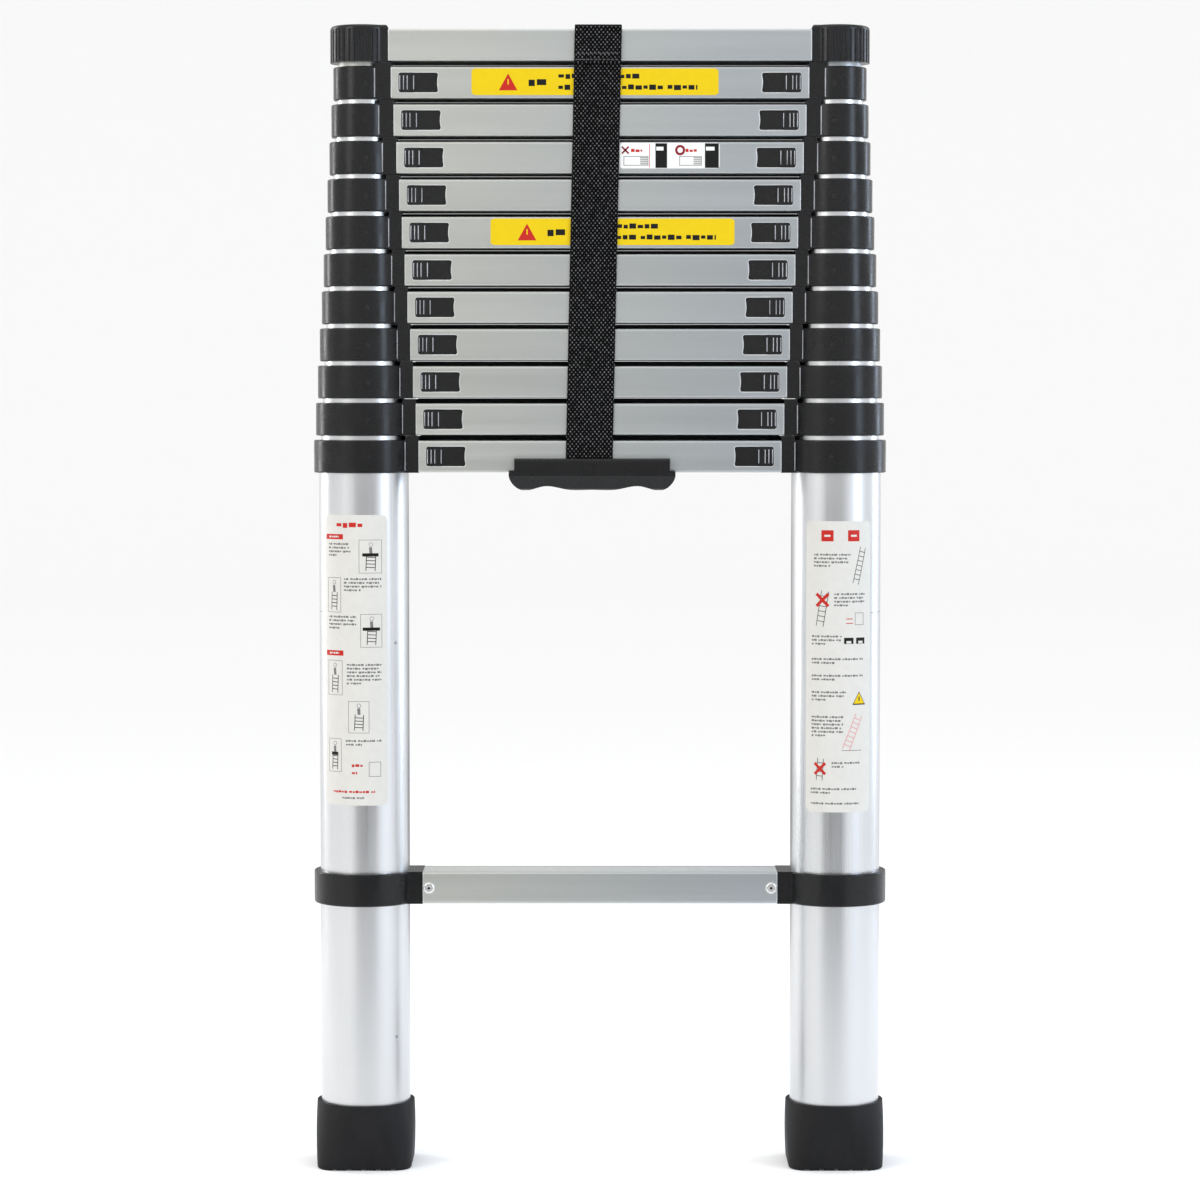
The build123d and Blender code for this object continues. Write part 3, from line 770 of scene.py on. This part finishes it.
def right_tube_label(bottom, top):
    """Warnings: two red title blocks, crossed-out and leaning ladders, a yellow triangle."""
    label = tube_label("label_tube_right", RIGHT, math.radians(1.0), bottom, top)
    for across in (0.33, 0.71):
        u, v = label.place(across, 0.05)
        label.bar(u, v, 10 * MM, 9 * MM, 1, RED)
        label.bar(u, v, 5 * MM, 1.6 * MM, 2, CREAM)
    label.text(0.13, 0.66, 0.115, 4)
    label.ladder(label.place(0.74, 0.215), label.place(0.86, 0.09), 5 * MM, 7, 0.5 * MM, BLACK)
    label.ladder(label.place(0.22, 0.36), label.place(0.30, 0.24), 6 * MM, 6, 0.5 * MM, BLACK)
    label.cross(*label.place(0.26, 0.27), 10 * MM, 2, RED)
    label.text(0.43, 0.89, 0.25, 4)
    for down in (0.335, 0.35):
        label.stroke(label.place(0.60, down), label.place(0.70, down), 0.7 * MM, 1, RED)
    label.frame(*label.place(0.80, 0.335), 8 * MM, 10 * MM, 0.4 * MM, GREY)
    label.text(0.10, 0.55, 0.395, 3)
    for across in (0.64, 0.82):
        label.bar(*label.place(across, 0.41), 8 * MM, 5 * MM, 1, BLACK)
        label.bar(*label.place(across, 0.415), 4 * MM, 2 * MM, 2, CREAM)
    label.text(0.10, 0.86, 0.473, 2)
    label.text(0.10, 0.86, 0.53, 2)
    label.text(0.10, 0.60, 0.587, 3)
    label.triangle(*label.place(0.80, 0.605), 12 * MM, 1, BLACK)
    u, v = label.place(0.80, 0.605)
    label.triangle(u, v - 0.1 * MM, 9.8 * MM, 2, YELLOW)
    label.bar(u, v - 1.2 * MM, 1.0 * MM, 3.6 * MM, 3, BLACK)
    label.text(0.10, 0.56, 0.672, 6)
    label.ladder(label.place(0.60, 0.785), label.place(0.80, 0.665), 6 * MM, 7, 0.6 * MM, PINK)
    label.stroke(label.place(0.54, 0.787), label.place(0.84, 0.787), 0.5 * MM, 1, GREY)
    label.ladder(label.place(0.22, 0.89), label.place(0.24, 0.815), 5 * MM, 4, 0.5 * MM, BLACK)
    label.cross(*label.place(0.23, 0.85), 9 * MM, 2, RED)
    label.text(0.40, 0.81, 0.83, 2)
    label.text(0.09, 0.76, 0.92, 2)
    label.text(0.09, 0.80, 0.97, 1)
    label.finish("section_01")


def make_labels():
    yellow_rung_label("label_rung_11", 11, -103.5 * MM, 199 * MM, 139 * MM, 182 * MM)
    yellow_rung_label("label_rung_07", 7, -88.4 * MM, 197 * MM, 139 * MM, 182 * MM)
    white_rung_label("label_rung_09", 9, 16 * MM, 80.5 * MM)
    left_tube_label(0.2985, 0.534)
    right_tube_label(0.293, 0.529)


make_labels()


# --- Small marks --------------------------------------------------------------------------------
def add_bead(bm, x, y, low, high, radius):
    """Upright bead with rounded ends."""
    made = bmesh.ops.create_uvsphere(bm, u_segments=10, v_segments=8, radius=radius)
    for vert in made["verts"]:
        reach = (high - low) / 2 - radius
        vert.co.z += (low + high) / 2 + math.copysign(reach, vert.co.z if abs(vert.co.z) > 1e-9 else 1)
        vert.co.x += x
        vert.co.y += y


def add_nub(bm, center, angle, z, radius, width, height, proud):
    """Low rounded pad on a round wall, turned by the angle from the front."""
    made = bmesh.ops.create_uvsphere(bm, u_segments=14, v_segments=8, radius=1.0)
    for vert in made["verts"]:
        across, out, up = vert.co.x * width / 2, vert.co.y * proud, vert.co.z * height / 2
        turn = angle + across / radius
        reach = radius + out
        vert.co = (center + reach * math.sin(turn), -reach * math.cos(turn), z + up)


def finish_marks(bm, name, material, body):
    mesh = bpy.data.meshes.new(name)
    bm.to_mesh(mesh)
    bm.free()
    made = new_object(name, mesh, [material])
    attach(made, body)


def collar_marks(k):
    """Pale raised bead where each ring meets its block, a painted highlight along that crease, and a
    moulding pip on each ring.
    """
    ring_wall = RING_WALL - RING_WALL_STEP * (k - 1)
    ring_radius = TUBE_RADIUS - (k - 1) * TUBE_RADIUS_STEP + ring_wall
    block = BLOCK_HALF_DEPTH
    crease = TUBE_AXIS - math.sqrt(ring_radius**2 - block**2)
    low, high = level(k) - CREASE_HALF_HEIGHT, level(k) + CREASE_HALF_HEIGHT
    bm = bmesh.new()
    for side in (LEFT, RIGHT):
        for face in (-1, 1):
            add_bead(bm, side * (crease + 0.1 * MM), face * (block + 0.2 * MM), low, high, 0.55 * MM)
    finish_marks(bm, f"collar_crease_highlights_{k:02d}", HIGHLIGHT_PLASTIC, f"section_{k:02d}")
    bm = bmesh.new()
    for side in (LEFT, RIGHT):
        turn = -side * math.radians(9)
        add_nub(bm, side * TUBE_AXIS, turn, level(k) - 1 * MM, ring_radius, 3 * MM, 4.2 * MM, 0.2 * MM)
    finish_marks(bm, f"collar_pips_{k:02d}", PLASTIC, f"section_{k:02d}")


def latch_rib_highlights(k, side, word):
    """Pale rounded crests on the three ribs of a latch pad and along the pad's inner edge: painted
    highlights.
    """
    bm = bmesh.new()
    pad_end = RUNG_HALF + RUNG_HALF_STEP * (k - 1) - PAD_INSET
    low, high = level(k) - RIB_HALF_HEIGHT, level(k) + RIB_HALF_HEIGHT
    for shift, proud in ((0.65, 0.9), (3.65, 0.9), (6.65, 0.9), (11.8, 0.3)):
        x = side * (pad_end - shift * MM)
        add_bead(bm, x, RUNG_FACE - proud * MM, low, high, 0.4 * MM)
    finish_marks(bm, f"latch_rib_highlights_{word}_{k:02d}", HIGHLIGHT_PLASTIC, f"button_{word}_{k:02d}")


def add_band(bm, x, z, radius, height, proud):
    """Closed band round a bottom tube."""
    around = 96
    profile = ((-0.1 * MM, -1), (proud, -1), (proud, 1), (-0.1 * MM, 1))
    rings = []
    for i in range(around):
        turn = 2 * math.pi * i / around
        ring = []
        for out, side in profile:
            reach = radius + out
            place = (x + reach * math.cos(turn), reach * math.sin(turn), z + side * height / 2)
            ring.append(bm.verts.new(place))
        rings.append(ring)
    for i in range(around):
        for j in range(4):
            k = (j + 1) % 4
            after = rings[(i + 1) % around]
            bm.faces.new((rings[i][j], after[j], after[k], rings[i][k]))


def tube_marks():
    """Fine dark joint line round both bottom tubes, and two locating dimples on the left one made as darker
    raised discs: painted shade in place of their hollows.
    """
    joint_z = 0.4546
    dimples_z = (0.43, 0.108)
    bm = bmesh.new()
    for side in (LEFT, RIGHT):
        add_band(bm, side * TUBE_AXIS, joint_z, TUBE_RADIUS, 0.5 * MM, 0.03 * MM)
    for z in dimples_z:
        add_nub(bm, LEFT * TUBE_AXIS, math.radians(47), z, TUBE_RADIUS, 3.2 * MM, 3.2 * MM, 0.25 * MM)
    bmesh.ops.recalc_face_normals(bm, faces=bm.faces)
    finish_marks(bm, "tube_marks", JOINT_AND_DIMPLE_SHADE, "section_01")


def rivet_hole_shade():
    """Painted shade: dark discs inside the holes of the four rivet heads."""
    low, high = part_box("lower_rungs")
    z = low.z + RIVET_RISE
    bm = bmesh.new()
    for x in (-RIVET_X, RIVET_X):
        for y in (low.y + RIVET_HOLE_SHADE_DEPTH, high.y - RIVET_HOLE_SHADE_DEPTH):
            made = bmesh.ops.create_uvsphere(bm, u_segments=12, v_segments=8, radius=1.15 * MM)
            for vert in made["verts"]:
                vert.co = (vert.co.x + x, vert.co.y * 0.5 + y, vert.co.z + z)
    finish_marks(bm, "rivet_hole_shade", BLACK, "section_01")


# Darker metal: the tube's joint line, and painted shade for the dimples.
def marks_metal():
    made = Shader("joint_line_and_dimple_shade", (0.30, 0.31, 0.32), 0.4, metallic=1.0)
    marks = made.noise((500, 500, 500))
    made.roughness(made.ramp(marks, 0.32, 0.5))
    made.color(made.mix(made.ramp(marks, 0.0, 1.0), (0.24, 0.25, 0.26), (0.40, 0.41, 0.42)))
    return made.material


# Pale grey plastic for painted highlights on the collar creases and on the latch rib crests.
HIGHLIGHT_PLASTIC = black_plastic("painted_highlight_plastic", 0.16, 0.2, 0.7)
JOINT_AND_DIMPLE_SHADE = marks_metal()
for section in range(1, SECTIONS):
    collar_marks(section)
    latch_rib_highlights(section, LEFT, "left")
    latch_rib_highlights(section, RIGHT, "right")
tube_marks()
rivet_hole_shade()


# --- Studio -------------------------------------------------------------------------------------
def make_floor():
    """Pale studio floor that curves up far away all round."""
    bm = bmesh.new()
    around = 96
    flat = 9.0
    bend = 3.0
    profile = [(flat * i / 12, 0.0) for i in range(1, 13)]
    for i in range(1, 13):
        turn = i * math.pi / 24
        profile.append((flat + bend * math.sin(turn), bend - bend * math.cos(turn)))
    rings = []
    for radius, z in profile:
        ring = []
        for i in range(around):
            turn = 2 * math.pi * i / around
            ring.append(bm.verts.new((radius * math.cos(turn), radius * math.sin(turn), z)))
        rings.append(ring)
    bm.faces.new(rings[0])
    for first, second in zip(rings, rings[1:]):
        for i in range(around):
            k = (i + 1) % around
            bm.faces.new((first[i], second[i], second[k], first[k]))
    mesh = bpy.data.meshes.new("floor")
    bm.to_mesh(mesh)
    bm.free()
    made = Shader("pale_floor", (0.9, 0.9, 0.9), 0.8, Specular_IOR_Level=0.0, Emission_Strength=0.05)
    made.bsdf.inputs["Emission Color"].default_value = (1, 1, 1, 1)
    new_object("floor", mesh, [made.material])


def glossy_card(name, place, size, aim, level_of_grey):
    """Card that only reflections see: it draws the dark band down the middle of round metal."""
    mesh = bpy.data.meshes.new(name)
    bm = bmesh.new()
    bmesh.ops.create_grid(bm, x_segments=1, y_segments=1, size=0.5)
    bm.to_mesh(mesh)
    bm.free()
    material = bpy.data.materials.new(name)
    material.use_nodes = True
    nodes = material.node_tree.nodes
    nodes.clear()
    glow = nodes.new("ShaderNodeEmission")
    glow.inputs[0].default_value = (level_of_grey, level_of_grey, level_of_grey * 1.02, 1)
    output = nodes.new("ShaderNodeOutputMaterial")
    material.node_tree.links.new(glow.outputs[0], output.inputs[0])
    card = new_object(name, mesh, [material])
    card.location = place
    card.scale = (size[0], size[1], 1)
    card.rotation_euler = (Vector(aim) - Vector(place)).to_track_quat("Z", "Y").to_euler()
    card.visible_camera = False
    card.visible_diffuse = False
    card.visible_shadow = False


def softbox(name, place, size, aim, power, color=(1, 1, 1)):
    data = bpy.data.lights.new(name, "AREA")
    data.shape = "RECTANGLE"
    data.size, data.size_y = size
    data.energy = power
    data.color = color
    lamp = bpy.data.objects.new(name, data)
    bpy.context.scene.collection.objects.link(lamp)
    lamp.location = place
    lamp.rotation_euler = (Vector(aim) - Vector(place)).to_track_quat("-Z", "Y").to_euler()


def make_studio():
    middle = (0, 0, 0.5)
    world = bpy.data.worlds.new("studio")
    world.use_nodes = True
    world.node_tree.nodes["Background"].inputs[0].default_value = (1, 1, 1, 1)
    world.node_tree.nodes["Background"].inputs[1].default_value = 1.0
    bpy.context.scene.world = world
    make_floor()
    glossy_card("front_card", (0, -1.2, 0.26), (1.3, 0.52), (0, 0, 0.26), 0.28)
    glossy_card("back_card", (0, 1.2, 0.26), (1.3, 0.52), (0, 0, 0.26), 0.28)
    softbox("rim_left", (-1.5, 0.7, 1.0), (0.25, 1.6), (0.1, 0, 0.6), 9)
    softbox("rim_right", (1.5, 0.7, 1.0), (0.25, 1.6), (-0.1, 0, 0.6), 9, (0.66, 0.80, 1.0))
    softbox("key_left", (-2.2, -2.0, 1.9), (1.0, 1.8), middle, 22, (1.0, 0.98, 0.94))
    softbox("fill_right", (2.4, -1.6, 1.4), (0.8, 1.8), middle, 26, (0.66, 0.80, 1.0))
    softbox("top", (0, -0.3, 2.8), (1.6, 1.2), middle, 8)
    bpy.context.scene.view_settings.view_transform = "Standard"


def make_camera():
    """Front view from 3 m, slightly above the middle, looking a little down."""
    data = bpy.data.cameras.new("camera")
    data.sensor_width = 36.0
    data.lens = 111.0
    camera = bpy.data.objects.new("camera", data)
    bpy.context.scene.collection.objects.link(camera)
    camera.location = (0.0, -3.02, 0.628)
    camera.rotation_euler = (math.radians(90 - 3.12), 0, 0)
    bpy.context.scene.camera = camera


make_studio()
make_camera()
